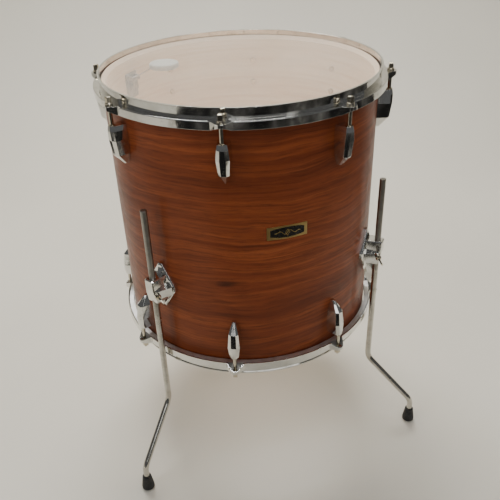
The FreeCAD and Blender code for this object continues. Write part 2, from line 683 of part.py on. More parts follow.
def make_mounting_screws():
    """Screws from inside the shell: two to each lug and four to each bracket."""
    body = new_body("mounting_screws")
    place(body)
    groups = []
    for index in range(int(value(sheet, "Size.lug_count"))):
        angle = "(Size.lug_angle + %d * Size.lug_step)" % index
        places = [("0", up) for up in lug_screw_heights()]
        groups.append(("lug_%d" % index, angle, "Size.screw_seat", "Size.screw_depth", places))
    for side in BRACKET_SIDES:
        rise = " + Size.bracket_height - Size.mid_height"
        places = [(across, up + rise) for across, up in bracket_screw_places()]
        angle = "Size.bracket_angle_" + side
        groups.append((side, angle, "Size.bracket_screw_seat", "Size.bracket_screw_depth",
                       places))
    for name, angle, seat, depth, places in groups:
        draw_screws(body, "screw_shanks_" + name, places, angle, seat, "Size.screw_radius",
                    "Size.shell_radius + %s - %s" % (depth, seat), False)
        draw_screws(body, "screw_heads_" + name, places, angle, seat,
                    "Size.screw_head_radius", "Size.screw_head", True)


def make_badge():
    """Thin barrel-shaped plate bent to the shell."""
    body = new_body("badge")
    place(body, "-90", "Size.badge_height")
    outline = new_sketch(body, "badge_outline", "YZ_Plane",
                         "Size.shell_radius - Size.badge_blank")
    edge = [("%s * Size.badge_width / 2" % part,
             "(Size.badge_middle - (Size.badge_middle - Size.badge_side) * %s) / 2" % part ** 2)
            for part in (-1, -0.75, -0.5, -0.25, 0, 0.25, 0.5, 0.75, 1)]
    draw_outline(outline, [(across, "-" + up) for across, up in edge] + edge[::-1])
    pad(body, outline, "2 * Size.badge_blank")
    above = "Size.badge_middle / 2 + Size.overrun"
    inside = new_sketch(body, "badge_inside", "XY_Plane", above)
    draw_circle(inside, "0", "0", "Size.shell_radius")
    cut(body, inside, "Size.badge_middle + 2 * Size.overrun")
    outside = new_sketch(body, "badge_outside", "XY_Plane", above)
    draw_circle(outside, "0", "0", "Size.shell_radius + Size.badge_plate")
    draw_circle(outside, "0", "0", "Size.shell_radius + 2 * Size.badge_blank")
    cut(body, outside, "Size.badge_middle + 2 * Size.overrun")


# Brackets, wing bolts, legs and feet.

def draw_plate(sketch, half_width, half_height, side_height):
    """Diamond plate outline with its four corners cut blunt."""
    tip = "Size.plate_tip_width"
    draw_outline(sketch, (
        (tip, "-" + half_height), (half_width, "-" + side_height),
        (half_width, side_height), (tip, half_height),
        ("-" + tip, half_height), ("-" + half_width, side_height),
        ("-" + half_width, "-" + side_height), ("-" + tip, "-" + half_height),
    ))


def draw_step(body, name, low_inset, low_face, high_inset, high_face):
    """Sloping band of the base plate between two faces, drawn in by the two insets."""
    sections = []
    for end, inset, face in (("low", low_inset, low_face), ("high", high_inset, high_face)):
        sketch = new_sketch(body, "%s_%s" % (name, end), "YZ_Plane", face)
        draw_plate(sketch, "(Size.plate_half_width - %s)" % inset,
                   "(Size.plate_half_height - 2 * %s)" % inset, "Size.plate_side_height")
        sections.append(sketch)
    loft(body, *sections)


def draw_block(body, name, height, inset):
    """Block's plan, narrower towards its outer face, drawn in by an inset."""
    sketch = new_sketch(body, name, "XY_Plane", height)
    root = "(Size.block_root_half_width - %s)" % inset
    half = "(Size.block_half_width - %s)" % inset
    face = "(Size.block_face - %s)" % inset
    corner = "Size.block_corner"
    draw_outline(sketch, (
        ("Size.shell_radius", "-" + root), (face + " - " + corner, "-" + half),
        (face, corner + " - " + half), (face, half + " - " + corner),
        (face + " - " + corner, half), ("Size.shell_radius", root),
    ))
    return sketch


def boss_side(across):
    """Boss's face at a distance from the drum axis: square to the wing bolt."""
    return ("(Size.boss_reach - (%s - Size.leg_circle) * sin(Size.clamp_lean))"
            " / cos(Size.clamp_lean)" % across)


def add_boss(body, name, plus):
    """Wedge between the plate and the block, whose face is square to the wing bolt."""
    sketch = new_sketch(body, name, "XY_Plane", "-Size.boss_drop")
    root = "Size.shell_radius + Size.plate_rim + Size.plate_bevel"
    sign = "" if plus else "-"
    draw_outline(sketch, (
        ("Size.shell_radius", "0"),
        ("Size.shell_radius", "%s(%s)" % (sign, boss_side(root))),
        (root, "%s(%s)" % (sign, boss_side(root))),
        ("Size.boss_outer", "%s(%s)" % (sign, boss_side("Size.boss_outer"))),
        ("Size.boss_outer", "0"),
    ))
    pad(body, sketch, "2 * Size.boss_half_height", centred=True)


def make_bracket(side):
    """Cast leg bracket: faceted base plate, block with the leg's bore, wing bolt's boss."""
    name = "leg_bracket_" + side
    body = new_body(name)
    place(body, "Size.bracket_angle_" + side, "Size.bracket_height")
    rim_face = "Size.shell_radius + Size.plate_rim"
    base = new_sketch(body, name + "_plate", "YZ_Plane", "Size.shell_radius - Size.plate_blank")
    draw_plate(base, "Size.plate_half_width", "Size.plate_half_height", "Size.plate_side_height")
    pad(body, base, "Size.plate_rim + Size.plate_blank")
    bevel_top_face = rim_face + " + Size.plate_bevel"
    draw_step(body, name + "_bevel", "0", rim_face, "Size.plate_bevel", bevel_top_face)
    lower = new_sketch(body, name + "_facet_foot", "YZ_Plane", bevel_top_face)
    inset = "(Size.plate_bevel + Size.plate_border)"
    draw_plate(lower, "(Size.plate_half_width - %s)" % inset,
               "(Size.plate_half_height - 2 * %s)" % inset, "Size.plate_side_height")
    upper = new_sketch(body, name + "_facet_top", "YZ_Plane",
                       "Size.shell_radius + Size.plate_crown")
    draw_plate(upper, "Size.crown_half_width", "Size.crown_half_height", "Size.crown_side_height")
    loft(body, lower, upper)

    bevel = "Size.block_bevel"
    block = draw_block(body, name + "_block", "Size.block_top - " + bevel, "0")
    pad(body, block, "Size.block_height - " + bevel, backward=True)
    loft(body, draw_block(body, name + "_block_rim", "Size.block_top - " + bevel, "0"),
         draw_block(body, name + "_block_top", "Size.block_top", bevel))

    plus = WING_ON_PLUS_SIDE[side]
    add_boss(body, name + "_boss", plus)

    bottom = "Size.block_top - Size.block_height - Size.overrun"
    taper = new_sketch(body, name + "_taper", "XZ_Plane")
    draw_outline(taper, (
        ("Size.block_face", "Size.block_taper_top"),
        ("Size.block_face - Size.block_taper", bottom),
        ("Size.block_face + Size.overrun", bottom),
        ("Size.block_face + Size.overrun", "Size.block_taper_top"),
    ))
    cut(body, taper, "4 * Size.block_root_half_width", centred=True)

    above = "Size.plate_half_height + Size.overrun"
    seat = new_sketch(body, name + "_seat", "XY_Plane", above)
    draw_circle(seat, "0", "0", "Size.shell_radius")
    cut(body, seat, "2 * (%s)" % above)

    bore = new_sketch(body, name + "_bore", "XY_Plane", "Size.block_top + Size.overrun")
    draw_circle(bore, "Size.leg_circle", "0", "Size.leg_bore")
    cut(body, bore, "Size.block_height + 2 * Size.overrun")

    lean = "-Size.clamp_lean" if plus else "Size.clamp_lean"
    thread = new_sketch(body, name + "_thread", "XZ_Plane", angle=lean,
                        across="Size.leg_circle")
    draw_circle(thread, "0", "-Size.boss_drop", "Size.wing_bore")
    cut(body, thread, "Size.boss_reach + Size.overrun", forward=not plus)

    tapped = new_sketch(body, name + "_tapped", "YZ_Plane")
    for across, up in bracket_screw_places():
        draw_circle(tapped, across, up, "Size.screw_thread")
    cut(body, tapped, "Size.shell_radius + Size.bracket_tap_depth", forward=True)


def make_wing_bolt(side):
    """Wing bolt that clamps the leg; local +Z points out along the bolt."""
    name = "wing_bolt_" + side
    body = turned_part(name, (
        ("0", "Size.wing_tip"),
        ("Size.wing_shank - Size.wing_point", "Size.wing_tip"),
        ("Size.wing_shank", "Size.wing_tip + Size.wing_point"),
        ("Size.wing_shank", "Size.wing_neck"),
        ("Size.wing_neck_radius", "Size.wing_neck"),
        ("Size.wing_neck_radius", "Size.wing_root"),
        ("Size.wing_neck_radius - Size.wing_dome", "Size.wing_root + Size.wing_dome"),
        ("0", "Size.wing_root + Size.wing_dome"),
    ))
    sign = "-" if WING_ON_PLUS_SIDE[side] else ""
    lean = " * rotation(vector(0; 0; 1); %sSize.clamp_lean)" % sign
    tip = " * rotation(vector(1; 0; 0); %s90)" % sign
    spin = " * rotation(vector(0; 0; 1); -Size.wing_turn)"
    place(body, "Size.bracket_angle_" + side, "Size.bracket_height - Size.boss_drop",
          "Size.leg_circle", lean + tip + spin)
    wings = new_sketch(body, name + "_wings", "XZ_Plane")
    foot = "Size.wing_neck + Size.wing_foot"
    side = [("%s * Size.wing_span" % out,
             "Size.wing_root + %s * (Size.wing_top - Size.wing_root)" % up)
            for out, up in WING_OUTLINE]
    side = [("%s * Size.wing_span" % WING_FOOT, foot)] + side
    other = [("-" + across, up) for across, up in side[::-1]]
    draw_outline(wings, side + [("0", "Size.wing_root + Size.wing_dome")] + other)
    pad(body, wings, "Size.wing_gauge", centred=True)


def draw_leg_path(sketch, leg_top):
    """Rod's centre line: straight down, out at a slant, and straight down into the foot."""
    slant = radians(value(sketch, "Size.leg_slant"))
    bend = value(sketch, "Size.leg_bend")
    knee = value(sketch, "Size.leg_knee")
    reach = value(sketch, "Size.leg_reach")
    across = bend * (1 - cos(slant))
    drop = bend * sin(slant)
    top = Vector(0, value(sketch, leg_top), 0)
    first = Vector(0, knee, 0)
    second = Vector(across, knee - drop, 0)
    run = reach - 2 * across
    third = Vector(reach - across, knee - drop - run / tan(slant), 0)
    fourth = Vector(reach, third.y - drop, 0)
    last = Vector(reach, value(sketch, "Size.leg_end"), 0)
    upright = Vector(0, 0, 1)
    upper = sketch.addGeometry(Part.LineSegment(top, first), False)
    centre = Vector(bend, knee, 0)
    circle = Part.Circle(centre, upright, bend)
    knee_arc = sketch.addGeometry(
        Part.ArcOfCircle(circle, circle.parameter(first), circle.parameter(second)), False)
    middle = sketch.addGeometry(Part.LineSegment(second, third), False)
    circle = Part.Circle(Vector(reach - bend, fourth.y, 0), upright, bend)
    ankle_arc = sketch.addGeometry(
        Part.ArcOfCircle(circle, circle.parameter(fourth), circle.parameter(third)), False)
    lower = sketch.addGeometry(Part.LineSegment(fourth, last), False)

    rule = Sketcher.Constraint
    sketch.addConstraint(rule("Tangent", upper, 2, knee_arc, 1))
    sketch.addConstraint(rule("Tangent", knee_arc, 2, middle, 1))
    sketch.addConstraint(rule("Tangent", middle, 2, ankle_arc, 2))
    sketch.addConstraint(rule("Tangent", ankle_arc, 1, lower, 1))
    hold(sketch, upper, 1, "0", leg_top)
    hold(sketch, upper, 2, "0", "Size.leg_knee")
    hold(sketch, lower, 2, "Size.leg_reach", "Size.leg_end")
    sketch.addConstraint(rule("Vertical", lower))
    for arc in (knee_arc, ankle_arc):
        index = sketch.addConstraint(rule("Radius", arc, bend))
        sketch.setExpression("Constraints[%d]" % index, "Size.leg_bend")
    index = sketch.addConstraint(rule("Angle", lower, 2, middle, 2, slant))
    sketch.setExpression("Constraints[%d]" % index, "Size.leg_slant * 1deg")


def make_leg(side):
    """Leg rod bent once out and once down; local +X points from the rod to the foot."""
    name = "leg_" + side
    body = new_body(name)
    swing = " * rotation(vector(0; 0; 1); Size.leg_swing_%s)" % side
    place(body, "Size.bracket_angle_" + side, "0", "Size.leg_circle", swing)
    path = new_sketch(body, name + "_path", "XZ_Plane")
    leg_top = "Size.leg_top_" + side
    draw_leg_path(path, leg_top)
    section = new_sketch(body, name + "_section", "XY_Plane", leg_top)
    draw_circle(section, "0", "0", "Size.leg_radius")
    rod = body.newObject("PartDesign::AdditivePipe", name + "_rod")
    rod.Profile = section
    rod.Spine = (path, [])
    doc.recompute()
    bevel_top(body, rod, "Size.leg_top_bevel")


def make_foot(side):
    """Rubber foot pushed onto the leg's lower end."""
    name = "foot_" + side
    body = new_body(name)
    angle = "Size.bracket_angle_" + side
    swung = "(%s + Size.leg_swing_%s)" % (angle, side)
    where = ("vector(Size.leg_circle * cos(%s) + Size.leg_reach * cos(%s);"
             " Size.axis_y + Size.leg_circle * sin(%s) + Size.leg_reach * sin(%s); 0)"
             % (angle, swung, angle, swung))
    facing = "rotation(vector(0; 0; 1); %s)" % swung
    body.setExpression("Placement", "placement(%s; %s)" % (where, facing))
    profile = new_sketch(body, name + "_profile", "XZ_Plane")
    draw_outline(profile, (
        ("0", "0"),
        ("Size.foot_sole", "0"),
        ("Size.foot_radius", "Size.foot_band_low"),
        ("Size.foot_radius", "Size.foot_band_high"),
        ("Size.foot_shoulder", "Size.foot_shoulder_height"),
        ("Size.foot_neck", "Size.foot_height"),
        ("Size.leg_radius", "Size.foot_height"),
        ("Size.leg_radius", "Size.leg_end"),
        ("0", "Size.leg_end"),
    ))
    revolve(body, profile)


# Muffler.

def make_muffler_base():
    """Plate inside the shell with two ears for the arm's pin and a hole for the stem."""
    body = new_body("muffler_base")
    place(body, "Size.muffler_angle", "Size.muffler_height")
    plate = new_sketch(body, "muffler_plate", "YZ_Plane", "Size.muffler_plate_face")
    wide = "Size.muffler_plate_half_width"
    tall = "Size.muffler_plate_half_height"
    draw_outline(plate, (("-" + wide, "-" + tall), (wide, "-" + tall),
                         (wide, tall), ("-" + wide, tall)))
    pad(body, plate, "Size.muffler_plate_back - Size.muffler_plate_face")
    thick = "Size.muffler_ear_outer - Size.muffler_ear_inner"
    for side, shift in (("minus", "Size.muffler_ear_inner"), ("plus", "-Size.muffler_ear_outer")):
        ear = new_sketch(body, "muffler_ear_" + side, "XZ_Plane", shift)
        tip = "Size.muffler_pivot_circle - Size.muffler_ear_tip"
        draw_outline(ear, (
            ("Size.muffler_plate_face", "Size.muffler_pivot_rise - Size.muffler_ear_root"),
            ("Size.muffler_plate_face", "Size.muffler_pivot_rise + Size.muffler_ear_root"),
            (tip, "Size.muffler_pivot_rise + Size.muffler_ear_tip"),
            (tip, "Size.muffler_pivot_rise - Size.muffler_ear_tip"),
        ))
        pad(body, ear, thick)
    pin = new_sketch(body, "muffler_pin_hole", "XZ_Plane")
    draw_circle(pin, "Size.muffler_pivot_circle", "Size.muffler_pivot_rise",
                "Size.muffler_pin_hole")
    cut(body, pin, "4 * Size.muffler_ear_outer", centred=True)
    bush = new_sketch(body, "muffler_bush", "YZ_Plane", "Size.muffler_plate_face")
    draw_circle(bush, "0", "0", "Size.muffler_bush")
    cut(body, bush, "Size.muffler_plate_back - Size.muffler_plate_face", forward=True)


def make_muffler_arm():
    """Sprung strip from its pin up to the pad, with a tail that the stem pushes."""
    body = new_body("muffler_arm")
    place(body, "Size.muffler_angle", "Size.muffler_height")
    strip = new_sketch(body, "muffler_strip", "XZ_Plane")
    gauge = "Size.muffler_arm_gauge"
    pivot = "Size.muffler_pivot_circle"
    rise = "Size.muffler_pivot_rise"
    half = "Size.muffler_arm_gauge / 2"
    pad_floor = "Size.muffler_pad_top - Size.muffler_pad"
    inner = "Size.muffler_arm_inner"
    outer = "Size.muffler_arm_outer"
    draw_outline(strip, (
        ("%s - %s" % (pivot, half), "-Size.muffler_arm_tail"),
        ("%s + %s" % (pivot, half), "-Size.muffler_arm_tail"),
        ("%s + %s" % (pivot, half), "%s + %s" % (rise, half)),
        ("%s + %s" % (outer, half), pad_floor),
        (inner, pad_floor),
        (inner, "%s - %s" % (pad_floor, gauge)),
        (outer, "%s - %s" % (pad_floor, gauge)),
        ("%s - %s" % (pivot, half), rise),
    ))
    pad(body, strip, "2 * Size.muffler_arm_half_width", centred=True)
    knuckle = new_sketch(body, "muffler_knuckle", "XZ_Plane")
    draw_circle(knuckle, pivot, rise, "Size.muffler_knuckle")
    pad(body, knuckle, "2 * Size.muffler_arm_half_width", centred=True)
    pin = new_sketch(body, "muffler_pin", "XZ_Plane")
    draw_circle(pin, pivot, rise, "Size.muffler_pin")
    pad(body, pin, "2 * Size.muffler_ear_outer + Size.overrun", centred=True)


def make_muffler_pad():
    """Felt disc glued to the arm's end."""
    body = new_body("muffler_pad")
    place(body, "Size.muffler_angle", "Size.muffler_height")
    disc = new_sketch(body, "muffler_disc", "XY_Plane", "Size.muffler_pad_top - Size.muffler_pad")
    draw_circle(disc, "Size.muffler_pad_circle", "0", "Size.muffler_pad_radius")
    pad(body, disc, "Size.muffler_pad")


def make_muffler_knob():
    """Knob outside the shell with its stem through the wall; local +Z points outward."""
    body = turned_part("muffler_knob", (
        ("0", "Size.muffler_stem_tip"),
        ("Size.muffler_stem", "Size.muffler_stem_tip"),
        ("Size.muffler_stem", "Size.muffler_knob_back"),
        ("Size.muffler_knob_radius", "Size.muffler_knob_back"),
        ("Size.muffler_knob_radius", "Size.muffler_knob_face - Size.muffler_knob_bevel"),
        ("Size.muffler_knob_radius - Size.muffler_knob_bevel", "Size.muffler_knob_face"),
        ("0", "Size.muffler_knob_face"),
    ))
    place(body, "Size.muffler_angle", "Size.muffler_height",
          turn=" * rotation(vector(0; 1; 0); 90)")


def check_model(bodies):
    """Stop if any object failed or any sub-part is empty or invalid."""
    for item in doc.Objects:
        if "Invalid" in item.State or "Error" in item.State:
            raise RuntimeError("%s failed: %s" % (item.Name, item.State))
    for body in bodies:
        if body.Shape.isNull() or not body.Shape.isValid() or not body.Shape.Solids:
            raise RuntimeError(body.Label + " has no valid shape")


make_shell()
for end, sign, turn in (("top", "+", ""), ("bottom", "-", FLIPPED)):
    make_hoop(end + "_hoop", "Size.mid_height %s Size.hoop_ledge" % sign, turn)
    edge_height = "Size.mid_height %s Size.shell_depth / 2" % sign
    make_head(end + "_head", edge_height, turn)
    make_head_ring(end + "_head_ring", edge_height, turn)
    for number in range(int(value(sheet, "Size.lug_count"))):
        lug_angle = "(Size.lug_angle + %d * Size.lug_step)" % number
        suffix = "%s_%d" % (end, number + 1)
        make_lug("lug_" + suffix, lug_angle, "Size.mid_height %s Size.lug_end" % sign, turn)
        make_tension_rod("tension_rod_" + suffix, lug_angle,
                         "Size.mid_height %s Size.hoop_ledge" % sign, turn)
make_washers()
make_swivel_nuts()
make_lug_springs()
make_mounting_screws()
make_badge()
for bracket_side in BRACKET_SIDES:
    make_bracket(bracket_side)
    make_wing_bolt(bracket_side)
    make_leg(bracket_side)
    make_foot(bracket_side)
make_muffler_base()
make_muffler_arm()
make_muffler_pad()
make_muffler_knob()
doc.recompute()

sub_parts = [item for item in doc.Objects if item.TypeId == "PartDesign::Body"]
check_model(sub_parts)
os.makedirs("parts", exist_ok=True)
for item in sub_parts:
    item.Shape.exportStep("parts/%s.step" % item.Label)
box = Part.makeCompound([item.Shape for item in sub_parts]).BoundBox
print("%d sub-parts, x %.1f to %.1f, y %.1f to %.1f, z %.1f to %.1f"
      % (len(sub_parts), box.XMin, box.XMax, box.YMin, box.YMax, box.ZMin, box.ZMax))
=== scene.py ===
"""Floor tom: materials, felt pad, badge ornament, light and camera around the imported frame."""
import json
import math

import bmesh
import bpy
from mathutils import Matrix, Vector, noise


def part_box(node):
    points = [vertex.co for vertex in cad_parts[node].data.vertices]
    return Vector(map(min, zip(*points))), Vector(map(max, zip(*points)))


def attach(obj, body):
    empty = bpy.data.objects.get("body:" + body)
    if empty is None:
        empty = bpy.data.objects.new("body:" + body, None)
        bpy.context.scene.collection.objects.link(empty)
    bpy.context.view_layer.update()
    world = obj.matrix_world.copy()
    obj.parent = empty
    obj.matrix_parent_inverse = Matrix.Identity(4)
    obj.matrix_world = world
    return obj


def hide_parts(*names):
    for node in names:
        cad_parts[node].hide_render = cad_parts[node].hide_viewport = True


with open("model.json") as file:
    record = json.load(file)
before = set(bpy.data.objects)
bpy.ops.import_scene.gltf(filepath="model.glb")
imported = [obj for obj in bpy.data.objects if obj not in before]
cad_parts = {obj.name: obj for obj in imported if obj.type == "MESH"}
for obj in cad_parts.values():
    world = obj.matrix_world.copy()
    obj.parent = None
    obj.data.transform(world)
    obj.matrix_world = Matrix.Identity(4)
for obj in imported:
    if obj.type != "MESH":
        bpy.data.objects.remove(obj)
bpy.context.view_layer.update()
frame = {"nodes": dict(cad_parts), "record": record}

# The drum's own axis is vertical, through this point. All lengths are in metres.
AXIS = Vector((0.0, -0.05, 0.0))
SHELL_RADIUS = 0.203
SHELL_TOP = 0.6202
SHELL_BOTTOM = 0.2142
BADGE_PLATE = 0.0009


# Camera at the photograph's angle. Angles are in degrees, lens and sensor in millimetres.

CAMERA_PLACE = Vector((-0.25095, -0.94206, 0.87105))
CAMERA_YAW = -15.97
CAMERA_TILT = 58.40
CAMERA_ROLL = -2.17
CAMERA_LENS = 44.86
CAMERA_SENSOR = 36.0


def make_camera():
    data = bpy.data.cameras.new("camera")
    data.lens = CAMERA_LENS
    data.sensor_width = CAMERA_SENSOR
    camera = bpy.data.objects.new("camera", data)
    bpy.context.scene.collection.objects.link(camera)
    turn = (Matrix.Rotation(math.radians(CAMERA_YAW), 4, "Z")
            @ Matrix.Rotation(math.radians(CAMERA_TILT), 4, "X")
            @ Matrix.Rotation(math.radians(CAMERA_ROLL), 4, "Z"))
    camera.matrix_world = Matrix.Translation(CAMERA_PLACE) @ turn
    bpy.context.scene.camera = camera


# Materials.

class Paint:
    """One material and the nodes that drive its shader."""

    def __init__(self, name, **constants):
        self.material = bpy.data.materials.new(name)
        self.material.use_nodes = True
        self.tree = self.material.node_tree
        self.tree.nodes.clear()
        self.shader = self.add("ShaderNodeBsdfPrincipled")
        output = self.add("ShaderNodeOutputMaterial")
        self.tree.links.new(self.shader.outputs[0], output.inputs["Surface"])
        for socket, amount in constants.items():
            self.shader.inputs[socket.replace("_", " ")].default_value = amount
        self.place = self.add("ShaderNodeTexCoord").outputs["Object"]

    def add(self, kind):
        return self.tree.nodes.new(kind)

    def feed(self, target, source):
        """Link a socket, or set it where source is a plain amount."""
        if isinstance(source, bpy.types.NodeSocket):
            self.tree.links.new(source, target)
        else:
            target.default_value = source

    def stretched(self, scale, place=None):
        node = self.add("ShaderNodeMapping")
        self.feed(node.inputs["Vector"], place or self.place)
        node.inputs["Scale"].default_value = scale
        return node.outputs[0]

    def noise(self, place, scale=1.0, detail=4.0, roughness=0.55, distortion=0.0):
        node = self.add("ShaderNodeTexNoise")
        self.feed(node.inputs["Vector"], place)
        node.inputs["Scale"].default_value = scale
        node.inputs["Detail"].default_value = detail
        node.inputs["Roughness"].default_value = roughness
        node.inputs["Distortion"].default_value = distortion
        return node.outputs[0]

    def cells(self, place, scale):
        node = self.add("ShaderNodeTexVoronoi")
        self.feed(node.inputs["Vector"], place)
        node.inputs["Scale"].default_value = scale
        return node.outputs["Distance"]

    def calc(self, operation, first, second=0.0, third=0.0):
        node = self.add("ShaderNodeMath")
        node.operation = operation
        self.feed(node.inputs[0], first)
        self.feed(node.inputs[1], second)
        self.feed(node.inputs[2], third)
        return node.outputs[0]

    def spread(self, source, low, high, to_low=0.0, to_high=1.0):
        node = self.add("ShaderNodeMapRange")
        self.feed(node.inputs["Value"], source)
        node.inputs["From Min"].default_value = low
        node.inputs["From Max"].default_value = high
        node.inputs["To Min"].default_value = to_low
        node.inputs["To Max"].default_value = to_high
        return node.outputs[0]

    def ramp(self, source, *stops):
        """Colours by amount: each stop is (position, (red, green, blue))."""
        node = self.add("ShaderNodeValToRGB")
        self.feed(node.inputs[0], source)
        points = node.color_ramp.elements
        while len(points) < len(stops):
            points.new(0.5)
        for point, (position, colour) in zip(points, stops):
            point.position = position
            point.color = (*colour, 1.0)
        return node.outputs[0]

    def mix(self, amount, first, second):
        node = self.add("ShaderNodeMix")
        node.data_type = "RGBA"
        self.feed(node.inputs[0], amount)
        for socket, source in ((node.inputs[6], first), (node.inputs[7], second)):
            if isinstance(source, tuple):
                source = (*source, 1.0)
            self.feed(socket, source)
        return node.outputs[2]

    def bump(self, height, distance, strength=1.0, rounding=0.0):
        """Relief, on edges that are shaded as if rounded by a small radius."""
        node = self.add("ShaderNodeBump")
        if rounding:
            edge = self.add("ShaderNodeBevel")
            edge.samples = 4
            edge.inputs["Radius"].default_value = rounding
            self.feed(node.inputs["Normal"], edge.outputs[0])
        node.inputs["Strength"].default_value = strength
        node.inputs["Distance"].default_value = distance
        self.feed(node.inputs["Height"], height)
        self.feed(self.shader.inputs["Normal"], node.outputs[0])

    def set(self, socket, source):
        self.feed(self.shader.inputs[socket], source)

    def coordinates(self):
        split = self.add("ShaderNodeSeparateXYZ")
        self.feed(split.inputs[0], self.place)
        return split.outputs

    def radius_and_height(self):
        """Distance from the drum's axis, and height, of the point shaded."""
        x, y, z = self.coordinates()
        across = self.calc("SUBTRACT", y, AXIS.y)
        squared = self.calc("MULTIPLY", x, x)
        squared = self.calc("MULTIPLY_ADD", across, across, squared)
        return self.calc("SQRT", squared), z


GRAIN_SWAY = 0.05          # how far the grain wanders up and down
LACQUER = 0.0004           # depth under the shell's outside that is still shaded as veneer
EDGE_BAND = 0.0060         # height of the bare plies seen at each bearing edge
PLY_RATE = 6000.0          # radians per metre: one ply is about a millimetre


def veneer(paint, along):
    """Colour of the veneer, with its fine lines and its pores."""
    bands = paint.noise(paint.stretched((1.6, 1.6, 12.0), along), detail=3.0)
    streaks = paint.noise(paint.stretched((2.6, 2.6, 120.0), along), detail=6.0, roughness=0.66)
    lines = paint.noise(paint.stretched((15.0, 15.0, 400.0), along), detail=5.0, roughness=0.74)
    pores = paint.noise(paint.stretched((55.0, 55.0, 1500.0), along), detail=3.0, roughness=0.6)
    tone = paint.calc("MULTIPLY_ADD", streaks, 0.65, paint.calc("MULTIPLY", bands, 0.35))
    colour = paint.ramp(
        tone,
        (0.35, (0.112, 0.025, 0.008)),
        (0.45, (0.166, 0.036, 0.011)),
        (0.52, (0.208, 0.047, 0.014)),
        (0.58, (0.250, 0.059, 0.017)),
        (0.68, (0.320, 0.084, 0.025)),
    )
    dark_lines = paint.spread(lines, 0.50, 0.62)
    colour = paint.mix(paint.calc("MULTIPLY", dark_lines, 0.62), colour, (0.078, 0.020, 0.007))
    dark_pores = paint.spread(pores, 0.54, 0.72)
    colour = paint.mix(paint.calc("MULTIPLY", dark_pores, 0.56), colour, (0.070, 0.020, 0.007))
    knots = paint.cells(paint.stretched((4.5, 4.5, 16.0), along), 1.0)
    knot = paint.spread(knots, 0.05, 0.11, 0.90, 0.0)
    return paint.mix(knot, colour, (0.030, 0.011, 0.006)), lines, pores


def bare_wood(paint, radius, height):
    """Colour of the unfinished inside, and of the plies at the bearing edges."""
    inner_grain = paint.noise(paint.stretched((4.0, 4.0, 150.0)), detail=4.0, roughness=0.6)
    inside = paint.ramp(
        inner_grain,
        (0.30, (0.86, 0.635, 0.430)),
        (0.50, (0.93, 0.725, 0.525)),
        (0.70, (0.95, 0.765, 0.575)),
    )
    ply = paint.calc("SINE", paint.calc("MULTIPLY", radius, PLY_RATE))
    edge = paint.mix(paint.spread(ply, -0.4, 0.4), (0.66, 0.49, 0.34), (0.74, 0.58, 0.42))
    middle = (SHELL_TOP + SHELL_BOTTOM) / 2
    past_middle = paint.calc("ABSOLUTE", paint.calc("SUBTRACT", height, middle))
    at_edge = paint.calc("GREATER_THAN", past_middle, SHELL_TOP - middle - EDGE_BAND)
    return paint.mix(at_edge, inside, edge)


def shell_wood():
    """Lacquered veneer with its grain round the drum, pale unfinished wood inside."""
    paint = Paint("shell_wood", Coat_Roughness=0.20, Coat_IOR=1.45, Specular_IOR_Level=0.16)
    radius, height = paint.radius_and_height()
    sway = paint.noise(paint.stretched((4.5, 4.5, 7.0)), detail=3.0, roughness=0.45)
    x, y, z = paint.coordinates()
    swayed = paint.add("ShaderNodeCombineXYZ")
    paint.feed(swayed.inputs[0], x)
    paint.feed(swayed.inputs[1], y)
    paint.feed(swayed.inputs[2], paint.calc("MULTIPLY_ADD", sway, GRAIN_SWAY, z))
    colour, lines, pores = veneer(paint, swayed.outputs[0])

    outside = paint.calc("GREATER_THAN", radius, SHELL_RADIUS - LACQUER)
    paint.set("Base Color", paint.mix(outside, bare_wood(paint, radius, height), colour))
    rub = paint.noise(paint.place, scale=40.0, detail=5.0, roughness=0.7)
    gloss = paint.spread(rub, 0.35, 0.75, 0.34, 0.50)
    bare = paint.spread(outside, 0.0, 1.0, 0.62, 0.0)
    paint.set("Roughness", paint.calc("MAXIMUM", gloss, bare))
    paint.set("Coat Weight", paint.calc("MULTIPLY", outside, 0.10))
    relief = paint.calc("MULTIPLY_ADD", lines, 0.5, paint.calc("MULTIPLY", pores, 0.5))
    paint.bump(relief, 0.00012, 0.35)
    return paint.material


PLATE_ROUNDING = 0.0006


def plated(name, colour, tint, smooth, dull, spots=0.0, rounding=PLATE_ROUNDING):
    """Plated metal: a clear gloss broken by fine scuffs, dull patches and a few dark spots."""
    paint = Paint(name, Metallic=1.0)
    cloud = paint.noise(paint.place, scale=55.0, detail=6.0, roughness=0.65)
    scuff = paint.noise(paint.stretched((900.0, 900.0, 260.0)), detail=3.0, roughness=0.7)
    dirt = paint.spread(cloud, 0.48, 0.80)
    base = paint.mix(dirt, colour, tint)
    if spots:
        speck = paint.cells(paint.place, 420.0)
        base = paint.mix(paint.spread(speck, 0.10, 0.16, spots, 0.0), base, (0.10, 0.085, 0.06))
    paint.set("Base Color", base)
    worn = paint.calc("MULTIPLY_ADD", paint.spread(scuff, 0.45, 0.85), 0.35, dirt)
    paint.set("Roughness", paint.spread(worn, 0.0, 1.2, smooth, dull))
    paint.bump(paint.calc("MULTIPLY_ADD", scuff, 0.25, cloud), 0.00006, 0.25, rounding)
    return paint.material


SLID_FROM, SLID_TO = 0.27, 0.36     # heights between which a leg rod turns dull


